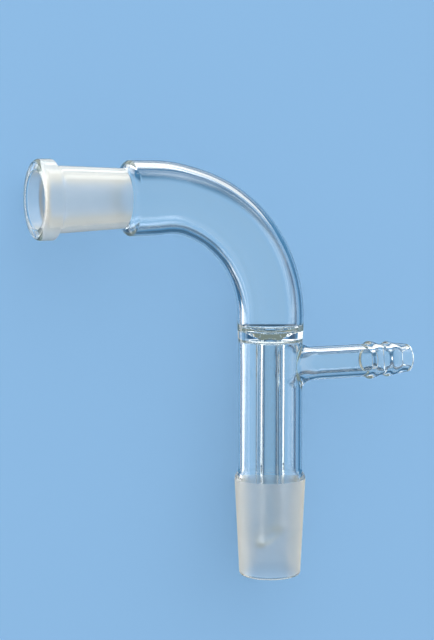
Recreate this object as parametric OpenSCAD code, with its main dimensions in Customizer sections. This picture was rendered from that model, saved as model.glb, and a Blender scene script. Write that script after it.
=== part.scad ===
// Vacuum take-off adapter, 90 degree bend: one fused piece of laboratory glass.
// It lies on its side. +X runs along the hose connection, +Y up the stem from the
// foot of the cone, +Z up from the surface that it lies on. Millimetres.

/* [Cone joint] */
// wide end of the ground cone, diameter
cone_d = 18.8; // [17.6:0.1:22]
// ground length of the cone
cone_l = 26; // [20:0.5:32]
// wall of the cone
cone_wall = 1.6; // [1.2:0.1:2.2]
// clear shoulder from the cone to the stem, length
shoulder_l = 2.6; // [1.5:0.1:5]

/* [Stem] */
// stem tube, outer diameter
stem_d = 17; // [16:0.1:17.6]
// stem tube, wall
stem_wall = 1.5; // [1:0.1:2]
// foot of the cone to the ring seal
seal_y = 62.5; // [58:0.5:80]

/* [Drip tube] */
// drip tube, outer diameter
drip_d = 8; // [6:0.1:9]
// drip tube, wall
drip_wall = 1; // [0.8:0.1:1.4]
// foot of the cone to the drip tube's tip
tip_y = 7.4; // [2:0.2:16]
// height of the slanted cut across the tip
tip_cut = 5.8; // [2:0.2:10]
// ring seal, thickness of the glass
seal_t = 1.7; // [1.2:0.1:2.6]
// round where the seal's dish meets the tube above
dish_round = 1.8; // [1:0.1:2.4]

/* [Bend] */
// bent tube, outer diameter
bend_d = 17.5; // [17:0.1:19]
// bent tube, wall
bend_wall = 1.6; // [1.2:0.1:2.4]
// radius of the bend at the tube's axis
bend_r = 31.5; // [24:0.5:45]
// ring seal to the start of the bend
throat_l = 6.6; // [5:0.2:12]

/* [Socket joint] */
// mouth of the ground socket, bore diameter
socket_d = 14.5; // [12:0.1:15]
// ground length of the socket
socket_l = 23; // [18:0.5:30]
// wall of the socket
socket_wall = 1.55; // [1.2:0.05:1.8]
// flange at the mouth, outer diameter
flange_d = 20.4; // [19.6:0.1:24]
// flange at the mouth, length
flange_l = 4.4; // [3.2:0.2:7]
// tube blown out beside the weld, outer diameter
neck_d = 18; // [17.6:0.1:19.4]
// end of the bend to the weld
neck_l = 8; // [4:0.5:20]
// clear weld between the tube and the socket, length
weld_l = 2.1; // [1.5:0.1:4]

/* [Hose connection] */
// side arm, outer diameter
arm_d = 8.8; // [8:0.1:9.6]
// side arm, wall
arm_wall = 1.3; // [1:0.1:1.6]
// foot of the cone to the arm's axis
arm_y = 55.9; // [44:0.1:56]
// stem's axis to the arm's tip
arm_reach = 41.3; // [38:0.1:60]
// first olive ring, diameter
olive_d = 10.2; // [9.8:0.1:12]
// second olive ring, diameter
olive2_d = 9.5; // [9.2:0.1:11]
// from one olive ring to the next
olive_pitch = 5.4; // [5:0.1:7]
// tip of the arm, diameter
nozzle_d = 7.5; // [6.8:0.1:8]
// bead blended round the arm's root, diameter
root_d = 13.8; // [11.6:0.1:14.2]

/* [Hidden] */
$fn = 40;
arm_fn = 32;               // the side arm is thinner
glass = [0.80, 0.89, 0.91];
taper = 1 / 20;            // radius per length of a 1:10 joint
past = 2;                  // how far a bore runs past the glass that it opens
round_n = 4;               // steps of a small round edge

// Stem and cone
foot_r = cone_d / 2 - cone_l * taper;
foot_lip = cone_wall / 2;
foot_mid = foot_r - foot_lip * (1 - taper);
stem_ri = stem_d / 2 - stem_wall;
seal_rise = 1.5;           // outside, the seal starts this far below its line
seal_top = 4;              // and ends this far above it
crown = 1;                 // round of the annulus' top

// Drip tube and ring seal
drip_r = drip_d / 2;
drip_ri = drip_r - drip_wall;
flare_y = seal_y - 2.2;    // the drip tube starts to widen here
flare_k = 0.33;            // how fast it widens
flare_step = 0.5;
lip_r = 1.6;               // soft edge where its bore opens into the dish
dish_fall = 0.2;           // the dish falls this much towards the bore
bore_top = seal_y + seal_t - dish_fall - lip_r;

// Bend and socket
bend_ri = bend_d / 2 - bend_wall;
bend_y = seal_y + throat_l;
socket_y = bend_y + bend_r;
neck_ri = neck_d / 2 - bend_wall;
weld_s = neck_l + weld_l;
mouth_s = weld_s + socket_l;
socket_end_ri = socket_d / 2 - socket_l * taper;
flange_r = flange_d / 2;
flange_s = mouth_s - flange_l;
flange_back = 1.7;         // hollow curve from the socket's body to the flange
flange_edge = 0.5;         // round of the flange's back edge
flange_round = 1.2;        // and of its front edge
mouth_lip = 0.4;
weld_in = 1.3;             // the bore narrows within this length, up to the socket
// the socket's body where that curve starts
collar_r = socket_end_ri + socket_wall + (flange_s - flange_back - weld_s) * taper;

// Side arm
arm_r = arm_d / 2;
arm_ri = arm_r - arm_wall;
root_r = root_d / 2;
root_ri = arm_ri + 1.4;    // the bore opens into the stem with a soft edge
root_l = 4.2;              // the root's curve ends this far outside the stem
root_y = root_r + 0.3;     // it starts inside the stem's wall
root_in = sqrt(pow(stem_d / 2, 2) - pow(root_y, 2)) - 0.4;
nozzle_l = 3.9;            // taper at the tip
nozzle_lip = 0.7;
olive_rise = 1.4;          // an olive is steep on the stem's side
olive_fall = 3.4;          // and falls gently towards the tip
arm_slim = 0.25;           // how much thinner the arm is past the olives
olive2_x = arm_reach - nozzle_l - 2.6;
olive_x = olive2_x - olive_pitch;

// Place of the whole part: middle of its box over the origin, lowest point at 0
mouth_x = bend_r + mouth_s;
low = max(flange_r, neck_d / 2, cone_d / 2, bend_d / 2);
mid_x = (arm_reach - mouth_x) / 2;
mid_y = (socket_y + max(flange_r, neck_d / 2)) / 2;

function ease(t) = (1 - cos(180 * t)) / 2;
// smooth step between two points of a profile, given as radius and length
function blend(a, b, n) =
    [for (i = [0:n]) [a[0] + (b[0] - a[0]) * ease(i / n), a[1] + (b[1] - a[1]) * i / n]];
// part of a circle round c
function arc(c, r, a0, a1) =
    [for (i = [0:round_n]) let (t = a0 + (a1 - a0) * i / round_n)
        [c[0] + r * cos(t), c[1] + r * sin(t)]];
// how far an olive at x0 stands out at x, from 0 to 1
function olive(x, x0) = 1 - ease(min(1, x < x0 ? (x0 - x) / olive_rise : (x - x0) / olive_fall));

// outside of the cone, the stem and the throat under the bend
function stem_outside() = concat(
    [[0, 0]],
    arc([foot_mid, foot_lip], foot_lip, -90, 0),
    blend([cone_d / 2, cone_l], [stem_d / 2, cone_l + shoulder_l], 5),
    blend([stem_d / 2, seal_y - seal_rise], [bend_d / 2, seal_y + seal_top], 4),
    [[bend_d / 2, bend_y], [0, bend_y]]);

// space inside the cone and the stem, up to the ring seal
function stem_inside() = concat(
    [[0, -past], [foot_mid, -past]],
    arc([foot_mid, foot_lip], foot_lip, 270, 180),
    blend([cone_d / 2 - cone_wall, cone_l], [stem_ri, cone_l + shoulder_l], 5),
    arc([stem_ri - crown, seal_y - crown], crown, 0, 90),
    [[0, seal_y]]);

// outside of the drip tube, widening into the ring seal
function drip_outside() = concat(
    [[0, -past], [drip_r, -past]],
    [for (i = [0:6]) let (y = i * flare_step) [drip_r + flare_k * y * y, flare_y + y]],
    [[0, flare_y + 6 * flare_step]]);

// bore of the drip tube and the dish of the ring seal above it
function drip_inside() = concat(
    [[0, -past], [drip_ri, -past]],
    arc([drip_ri + lip_r, bore_top], lip_r, 180, 90),
    arc([bend_ri - dish_round, seal_y + seal_t + dish_round], dish_round, -90, 0),
    [[bend_ri, bend_y], [0, bend_y]]);

// outside of the neck, the weld, the socket and its flange
function socket_outside() = concat(
    [[0, 0]],
    blend([bend_d / 2, 0], [neck_d / 2, neck_l], 4),
    blend([neck_d / 2, neck_l], [socket_end_ri + socket_wall, weld_s], 5),
    [for (i = [0:round_n]) let (t = 90 * i / round_n)
        [flange_r - flange_edge - (flange_r - flange_edge - collar_r) * cos(t),
         flange_s - flange_back * (1 - sin(t))]],
    arc([flange_r - flange_edge, flange_s + flange_edge], flange_edge, -90, 0),
    arc([flange_r - flange_round, mouth_s - flange_round], flange_round, 0, 90),
    [[0, mouth_s]]);

// bore of the neck and the ground bore of the socket
function socket_inside() = concat(
    [[0, 0]],
    blend([bend_ri, 0], [neck_ri, neck_l], 4),
    blend([neck_ri, weld_s - weld_in], [socket_end_ri, weld_s], 5),
    arc([socket_d / 2 + mouth_lip, mouth_s - mouth_lip], mouth_lip, 180, 90),
    [[socket_d / 2 + mouth_lip, mouth_s + past], [0, mouth_s + past]]);

// radius of the arm's outside past its root
function arm_out(x) =
    arm_r - arm_slim * ease(min(1, max(0, (x - olive_x) / olive_pitch)))
    + (olive_d / 2 - arm_r) * olive(x, olive_x)
    + (olive2_d / 2 - arm_r + arm_slim) * olive(x, olive2_x);

// outside of the side arm, from inside the stem to the tip
function arm_outside() = concat(
    [[0, root_in], [root_y, root_in]],
    [for (i = [0:6]) let (t = 90 * i / 6)
        [arm_r + (root_r - arm_r) * (1 - sin(t)), stem_d / 2 + root_l * (1 - cos(t))]],
    [for (x0 = [olive_x, olive2_x]) each [
        for (i = [0:4]) [arm_out(x0 - olive_rise * (1 - i / 4)), x0 - olive_rise * (1 - i / 4)],
        for (i = [1:5]) [arm_out(x0 + olive_fall * i / 5), x0 + olive_fall * i / 5]]],
    arc([nozzle_d / 2 - nozzle_lip, arm_reach - nozzle_lip], nozzle_lip, 0, 90),
    [[0, arm_reach]]);

// bore of the side arm, from the annulus to the tip
function arm_inside() = concat(
    [[0, drip_r + 0.2], [root_ri, drip_r + 0.2]],
    blend([root_ri, stem_ri - 1], [arm_ri, stem_d / 2 + 1.5], 5),
    blend([arm_ri, arm_reach - nozzle_l - 1], [nozzle_d / 2 - arm_wall, arm_reach], 3),
    [[nozzle_d / 2 - arm_wall, arm_reach + past], [0, arm_reach + past]]);

module turned(points, fn = $fn) rotate_extrude($fn = fn) polygon(points);

// length of a turned profile along +Y, on the stem's axis
module on_stem() rotate([-90, 0, 0]) children();
// along -X from the end of the bend
module on_socket() translate([-bend_r, socket_y, 0]) rotate([0, -90, 0]) children();
// along +X from the stem's axis
module on_arm() translate([0, arm_y, 0]) rotate([0, 90, 0]) children();

// a quarter turn of round bar, from the throat to the neck
module bent(r)
    translate([-bend_r, bend_y, 0])
        rotate_extrude(angle = 90) translate([bend_r, 0]) circle(r);

// the drip tube's outside, with the slanted cut across its tip
module drip_body() difference() {
    on_stem() turned(drip_outside());
    translate([-drip_r, tip_y, 0]) rotate([0, 0, atan(tip_cut / drip_d)])
        translate([-drip_d, -2 * seal_y, -drip_d]) cube([4 * drip_d, 2 * seal_y, 2 * drip_d]);
}

module adapter() color(glass) translate([-mid_x, -mid_y, low]) difference() {
    union() {
        on_stem() turned(stem_outside());
        bent(bend_d / 2);
        on_socket() turned(socket_outside());
        on_arm() turned(arm_outside(), arm_fn);
    }
    // the space round the drip tube
    difference() {
        on_stem() turned(stem_inside());
        drip_body();
    }
    // the way through the drip tube, the bend and the socket
    on_stem() turned(drip_inside());
    bent(bend_ri);
    on_socket() turned(socket_inside());
    // the vacuum bore
    on_arm() turned(arm_inside(), arm_fn);
}

adapter();
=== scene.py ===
"""Vacuum take-off adapter of clear and ground borosilicate glass, lying on a pale floor.

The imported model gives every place.  One closed skin of glass stands for it.  Its drip
tube has a narrower bore than the solid's, its blown neck is wider and its ring seal sits
a little higher; its edges and the root of the side arm are drawn more finely.
Lengths are in metres; MM turns a size in millimetres into them.
"""
import math

import bpy
import bmesh
from mathutils import Matrix, Vector


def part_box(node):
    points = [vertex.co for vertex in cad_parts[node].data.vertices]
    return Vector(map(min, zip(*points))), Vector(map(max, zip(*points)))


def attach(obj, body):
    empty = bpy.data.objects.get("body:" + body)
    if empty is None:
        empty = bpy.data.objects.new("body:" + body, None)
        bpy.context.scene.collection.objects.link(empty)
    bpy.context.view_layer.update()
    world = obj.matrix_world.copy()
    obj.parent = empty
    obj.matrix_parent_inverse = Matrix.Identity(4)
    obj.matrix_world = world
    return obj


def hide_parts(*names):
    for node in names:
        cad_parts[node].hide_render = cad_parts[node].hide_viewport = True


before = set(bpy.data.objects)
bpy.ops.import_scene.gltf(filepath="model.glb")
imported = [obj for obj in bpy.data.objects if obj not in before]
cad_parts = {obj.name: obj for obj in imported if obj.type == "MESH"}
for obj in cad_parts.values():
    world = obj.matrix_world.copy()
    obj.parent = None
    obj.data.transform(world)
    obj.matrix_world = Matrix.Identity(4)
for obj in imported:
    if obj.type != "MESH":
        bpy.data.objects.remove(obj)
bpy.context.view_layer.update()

MM = 0.001
low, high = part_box("adapter")

# ---------------------------------------------------------------- sizes of the glass

CONE_D, CONE_LENGTH, CONE_WALL = 18.8 * MM, 26 * MM, 1.6 * MM
SHOULDER_LENGTH = 2.6 * MM
STEM_D, STEM_WALL = 17 * MM, 1.5 * MM
SEAL_HEIGHT = 63.1 * MM           # foot of the cone to the ring seal
SEAL_WALL, DISH_ROUND, DISH_FALL, LIP_ROUND = 1.7 * MM, 2.5 * MM, 0.8 * MM, 1.3 * MM
THROAT_LENGTH = 6 * MM            # ring seal to the start of the bend
DRIP_D, DRIP_WALL = 7.6 * MM, 1.75 * MM
DRIP_TIP, DRIP_CUT = 7.4 * MM, 5.8 * MM
BEND_D, BEND_WALL, BEND_RADIUS = 17.5 * MM, 1.6 * MM, 31.5 * MM
NECK_D, NECK_LENGTH, WELD_LENGTH, WELD_IN = 19.2 * MM, 8 * MM, 2.1 * MM, 0.7 * MM
SWELL_BEFORE, SWELL_AFTER = 10 * MM, 3 * MM   # the tube swells across the bend's end
SOCKET_D, SOCKET_LENGTH, SOCKET_WALL = 14.5 * MM, 23 * MM, 1.55 * MM
FLANGE_D, FLANGE_LENGTH = 20.4 * MM, 4.4 * MM
ARM_D, ARM_WALL, ARM_HEIGHT, ARM_REACH = 8.8 * MM, 1.3 * MM, 55.9 * MM, 41.3 * MM
ROOT_D = 13.8 * MM
OLIVE_D, OLIVE2_D, OLIVE_PITCH = 10.2 * MM, 9.5 * MM, 5.4 * MM
OLIVE_RISE, OLIVE_FALL = 1.4 * MM, 3.4 * MM
NOZZLE_D, NOZZLE_LENGTH = 7.5 * MM, 3.9 * MM
TIP_EDGE, TIP_LIP = 0.15 * MM, 0.15 * MM      # round edges of the arm's flat end
TAPER = 1 / 20                    # radius per length of a ground joint
STEP_BELOW, STEP_ABOVE = 1.5 * MM, 4 * MM     # the stem widens from below the seal to above
DRIP_LIP = 0.3 * MM               # round edge of the drip tube's tip
DRIP_FADE = 24 * MM               # the slant of that tip fades out over this length
FLARE_BELOW, CROWN = 1.2 * MM, 1 * MM         # start of the seal's arch, its outer round
# flared root of the arm and of its bore: size, and how far each end pulls the curve
ROOT_LENGTH, ROOT_PULL = 4.2 * MM, (1.3 * MM, 2.4 * MM)
BORE_ROOT, BORE_ROOT_PULL = 2.4 * MM, (1.6 * MM, 3 * MM)
BORE_ROOT_LENGTH, BORE_STEP = 5 * MM, 1 * MM
BORE_NARROWS = 1 * MM             # the arm's bore narrows from this far before the nozzle
ARM_SLIM = 0.25 * MM              # how much thinner the arm is past its olives
OLIVE_TO_NOZZLE, NOZZLE_START = 2.6 * MM, 0.8 * MM
ARM_STEP, OLIVE_STEP = 0.9 * MM, 0.24 * MM    # from one ring of the arm to the next

STEM_X = high.x - ARM_REACH       # the stem's axis, from the arm's tip
FOOT_Y = low.y
AXIS_Z = low.z + FLANGE_D / 2

# --------------------------------------------------------------- profile of the wall

CLEAR, GROUND = 0, 1


def ease(t):
    return (1 - math.cos(math.pi * t)) / 2


def blend(s0, r0, s1, r1, steps):
    """Points of a smooth step in radius, from s0 to s1 along the axis."""
    return [(s0 + (s1 - s0) * i / steps, r0 + (r1 - r0) * ease(i / steps))
            for i in range(steps + 1)]


def arc(s, r, radius, start, end, steps):
    """Points of a round edge about (s, r); 0 degrees points along the axis."""
    turns = [math.radians(start + (end - start) * i / steps) for i in range(steps + 1)]
    return [(s + radius * math.cos(a), r + radius * math.sin(a)) for a in turns]


def run(s0, r0, s1, r1, steps):
    return [(s0 + (s1 - s0) * i / steps, r0 + (r1 - r0) * i / steps)
            for i in range(1, steps)]


def pulled(a, b, c, d, t):
    """Point at t, from 0 to 1, of the curve from a to d that is pulled to b and c."""
    return (a * (1 - t) ** 3 + 3 * b * t * (1 - t) ** 2
            + 3 * c * t * t * (1 - t) + d * t ** 3)


def curve(p0, p1, p2, p3, steps):
    """Points of a smooth curve from p0 to p3, pulled towards p1 and p2."""
    return [tuple(pulled(*ends, i / steps) for ends in zip(p0, p1, p2, p3))
            for i in range(steps + 1)]


class Wall:
    """The closed outline of the glass wall, as points (s, r) along and off the axis."""

    def __init__(self):
        self.points, self.finish, self.marks = [], [], {}

    def add(self, points, finish=CLEAR):
        for point in points:
            if self.points and math.dist(point, self.points[-1]) < 1e-7:
                continue
            self.points.append(point)
            self.finish.append(finish)

    def mark(self, name):
        self.marks[name] = len(self.points) - 1


stem_r, stem_ri = STEM_D / 2, STEM_D / 2 - STEM_WALL
bend_r, bend_ri = BEND_D / 2, BEND_D / 2 - BEND_WALL
neck_r, neck_ri = NECK_D / 2, NECK_D / 2 - BEND_WALL
drip_r, drip_ri = DRIP_D / 2, DRIP_D / 2 - DRIP_WALL
flange_r = FLANGE_D / 2
foot_r = CONE_D / 2 - CONE_LENGTH * TAPER
foot_lip = CONE_WALL / 2
foot_mid = foot_r - foot_lip * (1 - TAPER)
cone_ri = CONE_D / 2 - CONE_WALL
nozzle_ri, arm_ri = NOZZLE_D / 2 - ARM_WALL, ARM_D / 2 - ARM_WALL
shoulder_end = CONE_LENGTH + SHOULDER_LENGTH
bend_start = SEAL_HEIGHT + THROAT_LENGTH
dish = SEAL_HEIGHT + SEAL_WALL
bend_end = bend_start + BEND_RADIUS * math.pi / 2
swell_start, swell_end = bend_end - SWELL_BEFORE, bend_end + SWELL_AFTER
neck_end = bend_end + NECK_LENGTH
weld_end = neck_end + WELD_LENGTH
mouth = weld_end + SOCKET_LENGTH
socket_small_r = SOCKET_D / 2 - SOCKET_LENGTH * TAPER
flange_back, flange_edge, flange_round, mouth_lip = 1.7 * MM, 0.5 * MM, 1.2 * MM, 0.4 * MM
flange_start = mouth - FLANGE_LENGTH
collar_s = flange_start - flange_back
collar_r = socket_small_r + SOCKET_WALL + (collar_s - weld_end) * TAPER

ROUND = 96                        # columns round the tubes
# the side arm grows out of a window in the stem's outside and one in its inside, each
# this many columns to either side and this many rows high
WINDOW_HALF, WINDOW_ROWS = 16, 24
OUTER_REACH, INNER_REACH = 8.3 * MM, 6.1 * MM


def stem_out(s):
    """Outside of the stem at s, which widens a little past the ring seal."""
    start = SEAL_HEIGHT - STEP_BELOW
    t = min(1, max(0, (s - start) / (SEAL_HEIGHT + STEP_ABOVE - start)))
    return stem_r + (bend_r - stem_r) * ease(t)


def stem_in(s):
    """Inside of the stem, the same at every s."""
    return stem_ri


def glass_wall():
    wall = Wall()
    # outside: foot, cone, shoulder, stem
    wall.add(arc(foot_lip, foot_mid, foot_lip, 180, 90, 8))
    wall.add(run(foot_lip, foot_r + foot_lip * TAPER, CONE_LENGTH, CONE_D / 2, 22), GROUND)
    wall.add(blend(CONE_LENGTH, CONE_D / 2, shoulder_end, stem_r, 14))
    window = ARM_HEIGHT - OUTER_REACH
    wall.add(run(shoulder_end, stem_r, window, stem_r, 14))
    wall.add([(window, stem_r)])
    wall.mark("outer window")
    heights = [window + 2 * OUTER_REACH * i / WINDOW_ROWS for i in range(1, WINDOW_ROWS + 1)]
    heights += [window + 2 * OUTER_REACH + 0.7 * MM * k for k in range(1, 4)]
    wall.add([(s, stem_out(s)) for s in heights])
    wall.add(run(SEAL_HEIGHT + STEP_ABOVE, bend_r, bend_start, bend_r, 3))
    wall.add([(bend_start, bend_r)])
    wall.add(run(bend_start, bend_r, swell_start, bend_r, 38))
    # neck, weld, socket body and flange
    wall.add(blend(swell_start, bend_r, swell_end, neck_r, 18))
    wall.add(blend(neck_end, neck_r, weld_end, socket_small_r + SOCKET_WALL, 12))
    wall.add(run(weld_end, socket_small_r + SOCKET_WALL, collar_s, collar_r, 14))
    rise = flange_r - flange_edge - collar_r
    wall.add([(collar_s + flange_back * math.sin(a), collar_r + rise * (1 - math.cos(a)))
              for a in [math.pi / 2 * i / 8 for i in range(9)]])
    wall.add(arc(flange_start + flange_edge, flange_r - flange_edge, flange_edge, 180, 90, 6))
    wall.add(run(flange_start + flange_edge, flange_r, mouth - flange_round, flange_r, 4))
    wall.add(arc(mouth - flange_round, flange_r - flange_round, flange_round, 90, 0, 10))
    # mouth, ground bore, weld, neck, bend, dish and drip tube, all inside
    wall.add(run(mouth, flange_r - flange_round, mouth, SOCKET_D / 2 + mouth_lip, 3))
    wall.add(arc(mouth - mouth_lip, SOCKET_D / 2 + mouth_lip, mouth_lip, 0, -90, 6))
    wall.add(run(mouth - mouth_lip, SOCKET_D / 2, weld_end, socket_small_r, 18), GROUND)
    wall.add(blend(weld_end - WELD_IN, socket_small_r, neck_end - WELD_IN, neck_ri, 12))
    wall.add(blend(swell_end, neck_ri, swell_start, bend_ri, 18))
    wall.add(run(swell_start, bend_ri, bend_start, bend_ri, 38))
    # the dish of the ring seal, and the soft edge of the drip tube's bore in it
    wall.add([(bend_start, bend_ri)])
    wall.add(run(bend_start, bend_ri, dish + DISH_ROUND, bend_ri, 3))
    wall.add(arc(dish + DISH_ROUND, bend_ri - DISH_ROUND, DISH_ROUND, 90, 180, 10))
    wall.add(arc(dish - DISH_FALL - LIP_ROUND, drip_ri + LIP_ROUND, LIP_ROUND, 0, -90, 10))
    wall.add(run(dish - DISH_FALL - LIP_ROUND, drip_ri, DRIP_TIP, drip_ri, 30))
    lip = DRIP_LIP
    wall.add(arc(DRIP_TIP + lip, drip_ri + lip, lip, -90, -180, 4))
    wall.add(arc(DRIP_TIP + lip, drip_r - lip, lip, 180, 90, 4))
    flare = SEAL_HEIGHT - FLARE_BELOW
    wall.add(run(DRIP_TIP + lip, drip_r, flare, drip_r, 30))
    # the ring seal seen from the space round the drip tube, a smooth arch
    wall.add(curve((flare, drip_r), (SEAL_HEIGHT - 0.3 * MM, drip_r),
                   (SEAL_HEIGHT, drip_r + 0.7 * MM), (SEAL_HEIGHT, stem_ri - CROWN), 14))
    wall.add(arc(SEAL_HEIGHT - CROWN, stem_ri - CROWN, CROWN, 0, 90, 8))
    window = ARM_HEIGHT + INNER_REACH
    wall.add([(window, stem_ri)])
    wall.mark("inner window")
    wall.add([(window - 2 * INNER_REACH * i / WINDOW_ROWS, stem_ri)
              for i in range(1, WINDOW_ROWS + 1)])
    wall.add(run(ARM_HEIGHT - INNER_REACH, stem_ri, shoulder_end, stem_ri, 12))
    wall.add(blend(shoulder_end, stem_ri, CONE_LENGTH, cone_ri, 14))
    wall.add(run(CONE_LENGTH, cone_ri, foot_lip, foot_mid - foot_lip, 22))
    wall.add(arc(foot_lip, foot_mid, foot_lip, 270, 190, 7))
    return wall


def on_axis(s):
    """Where the tube's axis is at s, and which way its outer side faces."""
    if s <= bend_start:
        return Vector((STEM_X, FOOT_Y + s, AXIS_Z)), Vector((1, 0, 0))
    turn = min((s - bend_start) / BEND_RADIUS, math.pi / 2)
    side = Vector((math.cos(turn), math.sin(turn), 0))
    hub = Vector((STEM_X - BEND_RADIUS, FOOT_Y + bend_start, AXIS_Z))
    return hub + side * BEND_RADIUS - Vector((max(0, s - bend_end), 0, 0)), side


def arm_radius(x):
    """Outside of the side arm at x from the stem's axis, olives and all."""
    olive2 = ARM_REACH - NOZZLE_LENGTH - OLIVE_TO_NOZZLE
    olive1 = olive2 - OLIVE_PITCH

    def bulge(at):
        off = (at - x) / OLIVE_RISE if x < at else (x - at) / OLIVE_FALL
        return 1 - ease(min(1, off))

    body = ARM_D / 2 - ARM_SLIM * ease(min(1, max(0, (x - olive1) / OLIVE_PITCH)))
    cut = ARM_REACH - NOZZLE_LENGTH + NOZZLE_START
    if x > cut:
        body += (NOZZLE_D / 2 - body) * (x - cut) / (ARM_REACH - TIP_EDGE - cut)
    return (body + (OLIVE_D / 2 - ARM_D / 2) * bulge(olive1)
            + (OLIVE2_D / 2 - ARM_D / 2 + ARM_SLIM) * bulge(olive2))


def make_glass():
    wall = glass_wall()
    mesh = bmesh.new()
    rows = []
    for s, r in wall.points:
        row = []
        for column in range(ROUND):
            angle = 2 * math.pi * column / ROUND
            along = s
            if r <= drip_r + 1e-6 and s < DRIP_TIP + DRIP_FADE:
                fade = 1 - ease(min(1, max(0, (s - DRIP_TIP) / DRIP_FADE)))
                along += (r * math.cos(angle) + drip_r) / DRIP_D * DRIP_CUT * fade
            middle, side = on_axis(along)
            row.append(mesh.verts.new(middle + side * r * math.cos(angle)
                                      + Vector((0, 0, r * math.sin(angle)))))
        rows.append(row)

    def tile(a, b, c, d, finish):
        face = mesh.faces.new((a, b, c, d))
        face.material_index = finish
        face.smooth = True

    def bridge(loops):
        """Tiles between each loop of vertices and the next."""
        for a, b in zip(loops, loops[1:]):
            for i in range(len(a)):
                j = (i + 1) % len(a)
                tile(a[i], a[j], b[j], b[i], CLEAR)

    starts = (wall.marks["outer window"], wall.marks["inner window"])
    for index in range(len(rows)):
        after = (index + 1) % len(rows)
        finish = max(wall.finish[index], wall.finish[after])
        open_here = any(start <= index < start + WINDOW_ROWS for start in starts)
        for column in range(ROUND):
            centred = column if column < ROUND // 2 else column - ROUND
            if open_here and -WINDOW_HALF <= centred < WINDOW_HALF:
                continue
            right = (column + 1) % ROUND
            tile(rows[index][column], rows[after][column],
                 rows[after][right], rows[index][right], finish)

    def rim(start):
        """Window's edge, as a loop that starts at its lower left corner."""
        first, last, half = start, start + WINDOW_ROWS, WINDOW_HALF
        if wall.points[first][0] > wall.points[last][0]:
            first, last = last, first
        step = 1 if last > first else -1
        loop = [rows[first][c % ROUND] for c in range(-half, half)]
        loop += [rows[i][half] for i in range(first, last, step)]
        loop += [rows[last][c % ROUND] for c in range(half, -half, -1)]
        loop += [rows[i][-half % ROUND] for i in range(last, first, -step)]
        return loop

    outer, inner = [rim(start) for start in starts]
    count = len(outer)
    hub = Vector((STEM_X, FOOT_Y + ARM_HEIGHT, AXIS_Z))
    first_turn = -math.pi / 2 - math.pi * 2 * WINDOW_HALF / count
    turns = [first_turn + 2 * math.pi * i / count for i in range(count)]

    def surface(v, w, radius_at):
        """Point of a tube's wall at height v and sideways w from the arm's axis."""
        r = radius_at(ARM_HEIGHT + v)
        return Vector((STEM_X + math.sqrt(r * r - w * w), FOOT_Y + ARM_HEIGHT + v,
                       AXIS_Z + w))

    def collar(loop, hole_r, radius_at, steps):
        """Rings from a window's edge down to a round hole, all on the tube's wall."""
        rings = [loop]
        for k in range(1, steps + 1):
            t = k / steps
            ring = []
            for vert, a in zip(loop, turns):
                v = (vert.co.y - hub.y) * (1 - t) + hole_r * math.sin(a) * t
                w = (vert.co.z - hub.z) * (1 - t) + hole_r * math.cos(a) * t
                ring.append(mesh.verts.new(surface(v, w, radius_at)))
            rings.append(ring)
        return rings

    def flare_ring(hole_r, radius_at, end_x, end_r, pull, t):
        """One ring of the smooth curve from the hole's edge to the arm's own tube."""
        ring = []
        for a in turns:
            v, w = hole_r * math.sin(a), hole_r * math.cos(a)
            r = radius_at(ARM_HEIGHT + v)
            x = math.sqrt(r * r - w * w)
            lean = hole_r * math.cos(a) ** 2 / x
            size = math.hypot(1, lean)
            p0 = Vector((hole_r, x))
            p1 = p0 + Vector((-1, lean)) / size * pull[0]
            p3 = Vector((end_r, end_x))
            p2 = p3 - Vector((0, 1)) * pull[1]
            q = pulled(p0, p1, p2, p3, t)
            ring.append(mesh.verts.new((STEM_X + q.y, hub.y + q.x * math.sin(a),
                                        hub.z + q.x * math.cos(a))))
        return ring

    def arm_ring(x, r):
        return [mesh.verts.new((STEM_X + x, hub.y + r * math.sin(a), hub.z + r * math.cos(a)))
                for a in turns]

    # outside, from the stem over the root and the olives to the flat end
    rings = collar(outer, ROOT_D / 2, stem_out, 8)
    root_end = stem_r + ROOT_LENGTH
    for k in range(1, 13):
        rings.append(flare_ring(ROOT_D / 2, stem_out, root_end, ARM_D / 2, ROOT_PULL, k / 12))
    x = root_end
    first_olive = ARM_REACH - NOZZLE_LENGTH - OLIVE_TO_NOZZLE - OLIVE_PITCH - OLIVE_RISE
    while x < first_olive - ARM_STEP:
        x += ARM_STEP
        rings.append(arm_ring(x, arm_radius(x)))
    while x < ARM_REACH - TIP_EDGE - 0.25 * MM:
        x += OLIVE_STEP
        rings.append(arm_ring(x, arm_radius(x)))
    for i in range(7):
        a = math.pi / 2 * i / 6
        rings.append(arm_ring(ARM_REACH - TIP_EDGE * (1 - math.sin(a)),
                              NOZZLE_D / 2 - TIP_EDGE * (1 - math.cos(a))))
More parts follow.
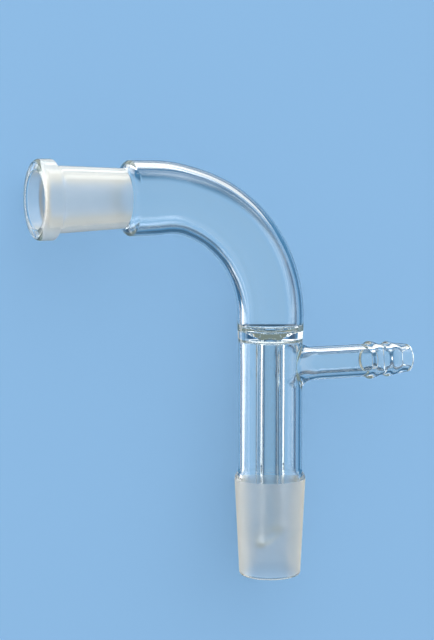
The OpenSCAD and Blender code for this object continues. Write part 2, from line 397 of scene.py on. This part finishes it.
    # and back along the bore to the space round the drip tube
    for i in range(1, 6):
        a = math.pi / 2 * i / 5
        rings.append(arm_ring(ARM_REACH - TIP_LIP * (1 - math.cos(a)),
                              nozzle_ri + TIP_LIP * (1 - math.sin(a))))
    for i in range(1, 11):
        t = i / 10
        rings.append(arm_ring(ARM_REACH - TIP_LIP - t * (NOZZLE_LENGTH + BORE_NARROWS),
                              nozzle_ri + (arm_ri - nozzle_ri) * ease(t)))
    x = ARM_REACH - TIP_LIP - NOZZLE_LENGTH - BORE_NARROWS
    inside_end = stem_ri + BORE_ROOT_LENGTH
    while x > inside_end + 1.3 * MM:
        x -= BORE_STEP
        rings.append(arm_ring(x, arm_ri))
    hole = arm_ri + BORE_ROOT
    rings += [flare_ring(hole, stem_in, inside_end, arm_ri, BORE_ROOT_PULL, k / 14)
              for k in range(14, 0, -1)]
    rings += reversed(collar(inner, hole, stem_in, 6))
    bridge(rings)
    bmesh.ops.recalc_face_normals(mesh, faces=mesh.faces)
    if mesh.calc_volume(signed=True) < 0:
        bmesh.ops.reverse_faces(mesh, faces=mesh.faces)
    open_edges = sum(1 for e in mesh.edges if len(e.link_faces) != 2)
    print("glass:", len(mesh.faces), "faces,", open_edges, "open edges, volume mm3",
          round(mesh.calc_volume() * 1e9, 1))
    data = bpy.data.meshes.new("glass")
    mesh.to_mesh(data)
    mesh.free()
    glass = bpy.data.objects.new("adapter_glass", data)
    bpy.context.scene.collection.objects.link(glass)
    return glass


# --------------------------------------------------------------------------- finishes

GLASS_IOR = 1.473


def colour(code):
    """A colour written as sRGB hex, as the linear value that a shader takes."""
    value = [int(code[i:i + 2], 16) / 255 for i in (1, 3, 5)]
    return [v / 12.92 if v <= 0.04045 else ((v + 0.055) / 1.055) ** 2.4 for v in value] + [1]


def new_material(name):
    material = bpy.data.materials.new(name)
    material.use_nodes = True
    tree = material.node_tree
    return material, tree, tree.nodes["Principled BSDF"]


def add(tree, kind, settings=None, sockets=None):
    """A node with its settings; sockets take a plain value or another node's output."""
    node = tree.nodes.new("ShaderNode" + kind)
    for name, value in (settings or {}).items():
        setattr(node, name, value)
    for name, value in (sockets or {}).items():
        if isinstance(value, bpy.types.NodeSocket):
            tree.links.new(value, node.inputs[name])
        else:
            node.inputs[name].default_value = value
    return node


def math_node(tree, operation, *values):
    return add(tree, "Math", {"operation": operation}, dict(enumerate(values))).outputs[0]


def painted_glow_in_thick_glass(tree, shader, dark, light):
    """Painted glow: where a ray has turned more than three times inside, the glass itself emits
    a grey colour that stands for the room's light caught in thick glass, painted lighter on
    faces turned to +Y, the top of the view, and darker on faces turned down.
    """
    path = add(tree, "LightPath")
    turns = math_node(tree, "GREATER_THAN", path.outputs["Glossy Depth"], 3.5)
    facing = add(tree, "SeparateXYZ", {}, {0: add(tree, "TexCoord").outputs["Normal"]})
    # painted shade in the glow: dark on faces turned down (-Y), light on faces turned up (+Y)
    painted_glow_ramp = add(tree, "ValToRGB", {}, {0: math_node(
        tree, "MULTIPLY_ADD", facing.outputs["Y"], 0.5, 0.5)})
    for stop, code in zip(painted_glow_ramp.color_ramp.elements, (dark, light)):
        stop.color = colour(code)
    tree.links.new(painted_glow_ramp.outputs["Color"], shader.inputs["Emission Color"])
    # the glass glows, a painted glow, only on rays that turned more than three times inside it
    tree.links.new(turns, shader.inputs["Emission Strength"])


def pass_light(tree, shader, share):
    """Light on its way to matt surfaces goes through the wall, less where it grazes it."""
    path = add(tree, "LightPath")
    soft = math_node(tree, "MAXIMUM", path.outputs["Is Shadow Ray"],
                     path.outputs["Is Diffuse Ray"])
    facing = add(tree, "LayerWeight", {}, {"Blend": 0.5}).outputs["Facing"]
    lost = math_node(tree, "POWER", facing, 3.0)
    kept = math_node(tree, "MULTIPLY_ADD", lost, -share, share)
    through = math_node(tree, "MULTIPLY", soft, kept)
    tree.links.new(math_node(tree, "SUBTRACT", 1.0, through), shader.inputs["Alpha"])


def noise(tree, place, size, detail, stretch=(1, 1, 1)):
    """Soft noise with features of a given size in metres, stretched along an axis or not."""
    scaled = add(tree, "Mapping", {}, {"Vector": place, "Scale": stretch})
    return add(tree, "TexNoise", {}, {"Vector": scaled.outputs[0], "Scale": 1 / size,
                                      "Detail": detail, "Roughness": 0.55}).outputs["Fac"]


def between(tree, value, from_min, from_max, to_min=0.0, to_max=1.0):
    """A value carried from one range to another, smoothly, and held at the ends."""
    return add(tree, "MapRange", {"interpolation_type": "SMOOTHSTEP"},
               {"Value": value, "From Min": from_min, "From Max": from_max,
                "To Min": to_min, "To Max": to_max}).outputs["Result"]


def clear_glass():
    """Drawn borosilicate tube, fire polished: clear, with the soft waves of lampwork
    where the bend, the neck, the ring seal and the arm's root were melted, and faint draw
    lines along the stem."""
    material, tree, shader = new_material("fire_polished_borosilicate")
    shader.inputs["Base Color"].default_value = colour("#F7FBFC")
    shader.inputs["Roughness"].default_value = 0.0
    shader.inputs["IOR"].default_value = GLASS_IOR
    shader.inputs["Transmission Weight"].default_value = 1.0
    place = add(tree, "TexCoord").outputs["Object"]
    height = add(tree, "SeparateXYZ", {}, {0: place}).outputs["Y"]
    worked = between(tree, height, FOOT_Y + SEAL_HEIGHT - 14 * MM, FOOT_Y + SEAL_HEIGHT,
                     0.35, 1.0)
    waves = math_node(tree, "MULTIPLY", noise(tree, place, 9 * MM, 1.0), worked)
    lines = noise(tree, place, 1.1 * MM, 1.0, (1, 0.012, 1))
    relief = math_node(tree, "MULTIPLY_ADD", lines, 0.05, waves)
    bump = add(tree, "Bump", {}, {"Strength": 0.5, "Distance": 0.12 * MM, "Height": relief})
    tree.links.new(bump.outputs[0], shader.inputs["Normal"])
    # painted glow of the clear glass where rays turn deep inside it: dark grey on faces turned
    # down to green-grey on faces turned up
    painted_glow_in_thick_glass(tree, shader, "#31363A", "#6E7D76")
    pass_light(tree, shader, 0.95)
    return material


def ground_glass():
    """Borosilicate ground with fine grit: a frosted grain, faint rings that the turning
    tool left round the joint, and more haze where the ground wall is seen aslant."""
    material, tree, shader = new_material("ground_borosilicate")
    shader.inputs["IOR"].default_value = GLASS_IOR
    place = add(tree, "TexCoord").outputs["Object"]
    at = add(tree, "SeparateXYZ", {}, {0: place})
    # the socket was turned about X, the cone about Y
    socket = math_node(tree, "GREATER_THAN", at.outputs["Y"], FOOT_Y + SEAL_HEIGHT)
    along = add(tree, "Mix", {}, {0: socket, 2: at.outputs["Y"], 3: at.outputs["X"]}).outputs[0]
    rings = add(tree, "TexNoise", {"noise_dimensions": "1D"},
                {"W": along, "Scale": 1 / (0.45 * MM), "Detail": 2.0}).outputs["Fac"]
    grain = noise(tree, place, 0.22 * MM, 3.0)
    cloud = noise(tree, place, 5 * MM, 2.0)
    marks = math_node(tree, "MULTIPLY_ADD", rings, 0.5, grain)
    mottle = math_node(tree, "MULTIPLY_ADD", marks, 0.35, cloud)
    tint = add(tree, "ValToRGB", {}, {0: mottle})
    stops = ((0.45, "#F2F3F1"), (1.0, "#FBFCFC"))
    for stop, (position, code) in zip(tint.color_ramp.elements, stops):
        stop.position, stop.color = position, colour(code)
    tree.links.new(between(tree, mottle, 0.4, 1.1, 0.42, 0.52), shader.inputs["Roughness"])
    # seen from inside the wall the same slant makes a smaller angle
    facing = add(tree, "LayerWeight", {}, {"Blend": 0.5}).outputs["Facing"]
    inside = add(tree, "NewGeometry").outputs["Backfacing"]
    wider = math_node(tree, "MULTIPLY_ADD", inside, 2.8, 0.7)
    slant = math_node(tree, "MULTIPLY", facing, wider)
    clear = between(tree, slant, 0.08, 0.75, 0.9, 0.45)
    raised = math_node(tree, "ADD", clear, 0.04)
    tree.links.new(math_node(tree, "MULTIPLY_ADD", mottle, -0.06, raised),
                   shader.inputs["Transmission Weight"])
    # the haze is white and turns cream where the wall is seen aslant: that cream is a painted
    # warm sheen on the joint's edges; what shows through the haze keeps its own colour
    haze_and_painted_sheen = add(tree, "Mix", {"data_type": "RGBA"}, {
        0: between(tree, clear, 0.88, 0.55), 6: tint.outputs["Color"],
        # painted warm sheen: the cream laid on the haze at the slanted edges
        7: colour("#F6EEDD")})
    tree.links.new(haze_and_painted_sheen.outputs[2], shader.inputs["Base Color"])
    bump = add(tree, "Bump", {}, {"Strength": 0.35, "Distance": 0.03 * MM, "Height": marks})
    tree.links.new(bump.outputs[0], shader.inputs["Normal"])
    # painted glow of the ground glass where rays turn deep inside it: dark blue-grey on faces
    # turned down to grey-blue on faces turned up
    painted_glow_in_thick_glass(tree, shader, "#3C4752", "#6E7A86")
    pass_light(tree, shader, 0.75)
    return material


glass = make_glass()
glass.data.materials.append(clear_glass())
glass.data.materials.append(ground_glass())
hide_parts("adapter")
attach(glass, "root")

# -------------------------------------------------------------------------- directions

# The set stands round the lying adapter: what lies behind it, seen from the camera,
# is under the floor's level.  All angles of the set are taken from these directions.
YAW, PAN, PITCH = math.radians(25.576), math.radians(-1.63), math.radians(6.062)
heading = YAW + PAN
behind = Vector((math.sin(heading) * math.cos(PITCH), -math.sin(PITCH),
                 -math.cos(heading) * math.cos(PITCH)))
to_right = Vector((math.cos(heading), 0, math.sin(heading)))
to_top = to_right.cross(behind)

# ------------------------------------------------------------------------------ stage

FLOOR, FLOOR_HALF = "#8DBAE3", 3.0            # colour, and half its width in metres


def seen_in_glass(tree):
    """1 for what clear or ground glass shows directly, 0 for all other light."""
    path = add(tree, "LightPath")
    in_glass = math_node(tree, "MAXIMUM", path.outputs["Is Glossy Ray"],
                         path.outputs["Is Transmission Ray"])
    direct = math_node(tree, "LESS_THAN", path.outputs["Diffuse Depth"], 0.5)
    return math_node(tree, "MULTIPLY", in_glass, direct)


def pale_floor():
    """Matt paper; glass looks through it at the set that stands all round."""
    material, tree, shader = new_material("pale_paper")
    shader.inputs["Base Color"].default_value = colour(FLOOR)
    shader.inputs["Roughness"].default_value = 0.9
    shader.inputs["Specular IOR Level"].default_value = 0.1
    see_through = add(tree, "BsdfTransparent")
    mix = add(tree, "MixShader", {}, {0: seen_in_glass(tree), 1: shader.outputs[0],
                                      2: see_through.outputs[0]})
    tree.links.new(mix.outputs[0], tree.nodes["Material Output"].inputs["Surface"])
    return material


floor_data = bpy.data.meshes.new("floor")
floor_data.from_pydata([(x * FLOOR_HALF, y * FLOOR_HALF, low.z)
                        for x, y in ((-1, -1), (1, -1), (1, 1), (-1, 1))],
                       [], [(0, 1, 2, 3)])
floor = bpy.data.objects.new("floor", floor_data)
bpy.context.scene.collection.objects.link(floor)
floor.data.materials.append(pale_floor())

# What glass sees straight behind it and off to the sides: degrees, colour
THROUGH = "#9BC7EF"               # the floor as lit, for a look through both walls
BACKDROP = [(0, THROUGH), (12, "#93C0E9"), (19, "#6A9FCE"), (24, "#28577F"),
            (31, "#235073"), (38, "#4C86B4"), (48, "#6A9FC9"), (70, "#7DA6C8"),
            (88, "#8FA9BC"), (112, "#9A9070"), (180, "#7C745C")]
HORIZON = "#84B1DA"               # the floor seen at a low angle, all round
DARK = 0.4                        # a soft box with less light than this is a dark field
# Soft boxes: which way they stand, from and to (degrees), half height, soft edge, light
BOXES = [("left", 43, 88, 60, 2.5, (2.3, 2.35, 2.4)),
         ("top", 10, 22, 75, 2, (0.05, 0.19, 0.36)),
         ("top", 27, 46, 75, 2.5, (1.0, 1.03, 1.05)),
         ("top", 50, 96, 75, 4, (3.2, 3.25, 3.3)),
         ("right", 68, 98, 50, 4, (1.0, 0.9, 0.75)),
         ("bottom", 13, 35, 75, 2.5, (0.03, 0.09, 0.17)),
         ("bottom", 45, 60, 70, 3, (0.3, 0.42, 0.55))]

# How bright the room is at its sides, what the top and the left add, and its front
ROOM_SIDE, ROOM_TOP, ROOM_LEFT, ROOM_FRONT = 1.15, 2.6, 0.25, 0.65


def toward(tree, axis):
    """How far a ray's direction points along an axis, from -1 to 1."""
    direction = add(tree, "TexCoord").outputs["Generated"]
    return add(tree, "VectorMath", {"operation": "DOT_PRODUCT"},
               {0: direction, 1: tuple(axis)}).outputs["Value"]


def studio_set(tree):
    """Colour of the set in the direction that a ray leaves the glass."""

    def degrees(operation, *values):
        return math_node(tree, "MULTIPLY", math_node(tree, operation, *values), 180 / math.pi)

    def both(one, other):
        return math_node(tree, "MULTIPLY", one, other)

    def blended(share, under, over):
        return add(tree, "Mix", {"data_type": "RGBA"}, {0: share, 6: under, 7: over}).outputs[2]

    sideways, upward, away = [toward(tree, axis) for axis in (to_right, to_top, behind)]
    turn, lift = degrees("ARCTAN2", sideways, away), degrees("ARCSINE", upward)
    roll, drift = degrees("ARCTAN2", upward, away), degrees("ARCSINE", sideways)
    off = degrees("ARCCOSINE", away)
    ramp = add(tree, "ValToRGB", {}, {0: math_node(tree, "DIVIDE", off, 180.0)})
    stops = ramp.color_ramp.elements
    while len(stops) < len(BACKDROP):
        stops.new(0.5)
    for stop, (angle, code) in zip(stops, BACKDROP):
        stop.position, stop.color = angle / 180, colour(code)
    # the backdrop with every box laid over it, and with its dark fields only
    dark_only = everything = ramp.outputs["Color"]
    for side, start, end, tall, soft, light in BOXES:
        along, across = (turn, lift) if side in ("left", "right") else (roll, drift)
        along = both(along, -1 if side in ("left", "bottom") else 1)
        across = math_node(tree, "ABSOLUTE", across)
        lit = both(between(tree, along, start - soft, start + soft),
                   between(tree, along, end + soft, end - soft))
        lit = both(lit, between(tree, across, tall + 2 * soft, tall - 2 * soft))
        everything = blended(lit, everything, light + (1,))
        if max(light) < DARK:
            dark_only = blended(lit, dark_only, light + (1,))
    # A look straight through both walls of a clear tube, with no turn inside them, meets
    # only the dark fields about the backdrop's middle, and the floor beyond them.
    path = add(tree, "LightPath")
    no_turn = math_node(tree, "LESS_THAN", path.outputs["Glossy Depth"], 0.5)
    four_faces = math_node(tree, "COMPARE", path.outputs["Transmission Depth"], 4.0, 1.5)
    straight = both(path.outputs["Is Singular Ray"], both(no_turn, four_faces))
    fall = toward(tree, (0, 0, -1))
    floor_shows = math_node(tree, "MAXIMUM", between(tree, fall, 0.94, 0.985),
                            between(tree, off, 31, 37))
    total = blended(straight, everything, blended(floor_shows, dark_only, colour(THROUGH)))
    # from low down the glass is seen against the floor, some 15 degrees under the horizon
    low_down = both(between(tree, fall, 0.05, 0.14), between(tree, fall, 0.46, 0.36))
    return blended(low_down, total, colour(HORIZON))


def room_light(tree):
    """Level of the room's light: most from the top of the view and from its left."""
    upper = math_node(tree, "MAXIMUM", toward(tree, to_top), 0.0)
    side = math_node(tree, "MULTIPLY_ADD", upper, ROOM_TOP, ROOM_SIDE)
    side = math_node(tree, "MULTIPLY_ADD", toward(tree, -to_right), ROOM_LEFT, side)
    front = between(tree, toward(tree, -behind), 0.25, 0.9)
    dim = math_node(tree, "MULTIPLY", math_node(tree, "SUBTRACT", 1.0, front), side)
    return math_node(tree, "MULTIPLY_ADD", front, ROOM_FRONT, dim)


def studio_world():
    world = bpy.data.worlds.new("studio")
    bpy.context.scene.world = world
    world.use_nodes = True
    tree = world.node_tree
    path = add(tree, "LightPath")
    room = add(tree, "Background", {}, {0: colour("#F6F7F8"), 1: room_light(tree)})
    around = add(tree, "Background", {}, {0: studio_set(tree), 1: 1.0})
    sky = add(tree, "Background", {}, {0: colour(FLOOR), 1: 1.0})
    seen = add(tree, "MixShader", {}, {0: path.outputs["Is Camera Ray"],
                                       1: room.outputs[0], 2: sky.outputs[0]})
    mix = add(tree, "MixShader", {}, {0: seen_in_glass(tree), 1: seen.outputs[0],
                                      2: around.outputs[0]})
    tree.links.new(mix.outputs[0], tree.nodes["World Output"].inputs["Surface"])


studio_world()


def softbox(name, place, size, strength):
    """A rectangular lamp at a place about the adapter's middle, turned towards it."""
    middle = (low + high) / 2
    lamp = bpy.data.lights.new(name, "AREA")
    lamp.shape = "RECTANGLE"
    lamp.size, lamp.size_y = size
    lamp.energy = strength * math.pi * size[0] * size[1]
    holder = bpy.data.objects.new(name, lamp)
    away = Vector(place)
    sideways = Vector((0, 0, 1)).cross(away).normalized()
    out = away.normalized()
    turn = Matrix((sideways, out.cross(sideways), out)).transposed().to_4x4()
    holder.matrix_world = Matrix.Translation(middle + away) @ turn
    # it lights the floor and the ground faces; the set above is what clear glass shows
    holder.visible_glossy = holder.visible_transmission = False
    bpy.context.scene.collection.objects.link(holder)
    return holder


# size is the length and the height of the lit face, strength its brightness
softbox("key", (-0.3, 0.75, 0.6), (0.7, 0.7), 0.7)

# ----------------------------------------------------------------------------- camera

SENSOR, LENS = 36, 156.6          # width of the picture and focal length, both in mm
DISTANCE, EYE = 493.8 * MM, 120.4 * MM        # from the foot of the cone

camera_data = bpy.data.cameras.new("camera")
camera_data.sensor_fit = "HORIZONTAL"
camera_data.sensor_width, camera_data.lens = SENSOR, LENS
camera = bpy.data.objects.new("camera", camera_data)
bpy.context.scene.collection.objects.link(camera)
bpy.context.scene.camera = camera
foot = Vector((STEM_X, FOOT_Y, AXIS_Z))
camera_place = foot + Vector((-DISTANCE * math.sin(YAW), EYE, DISTANCE * math.cos(YAW)))
turned = Matrix((to_right, to_top, -behind)).transposed().to_4x4()
camera.matrix_world = Matrix.Translation(camera_place) @ turned

bpy.context.scene.view_settings.view_transform = "Standard"
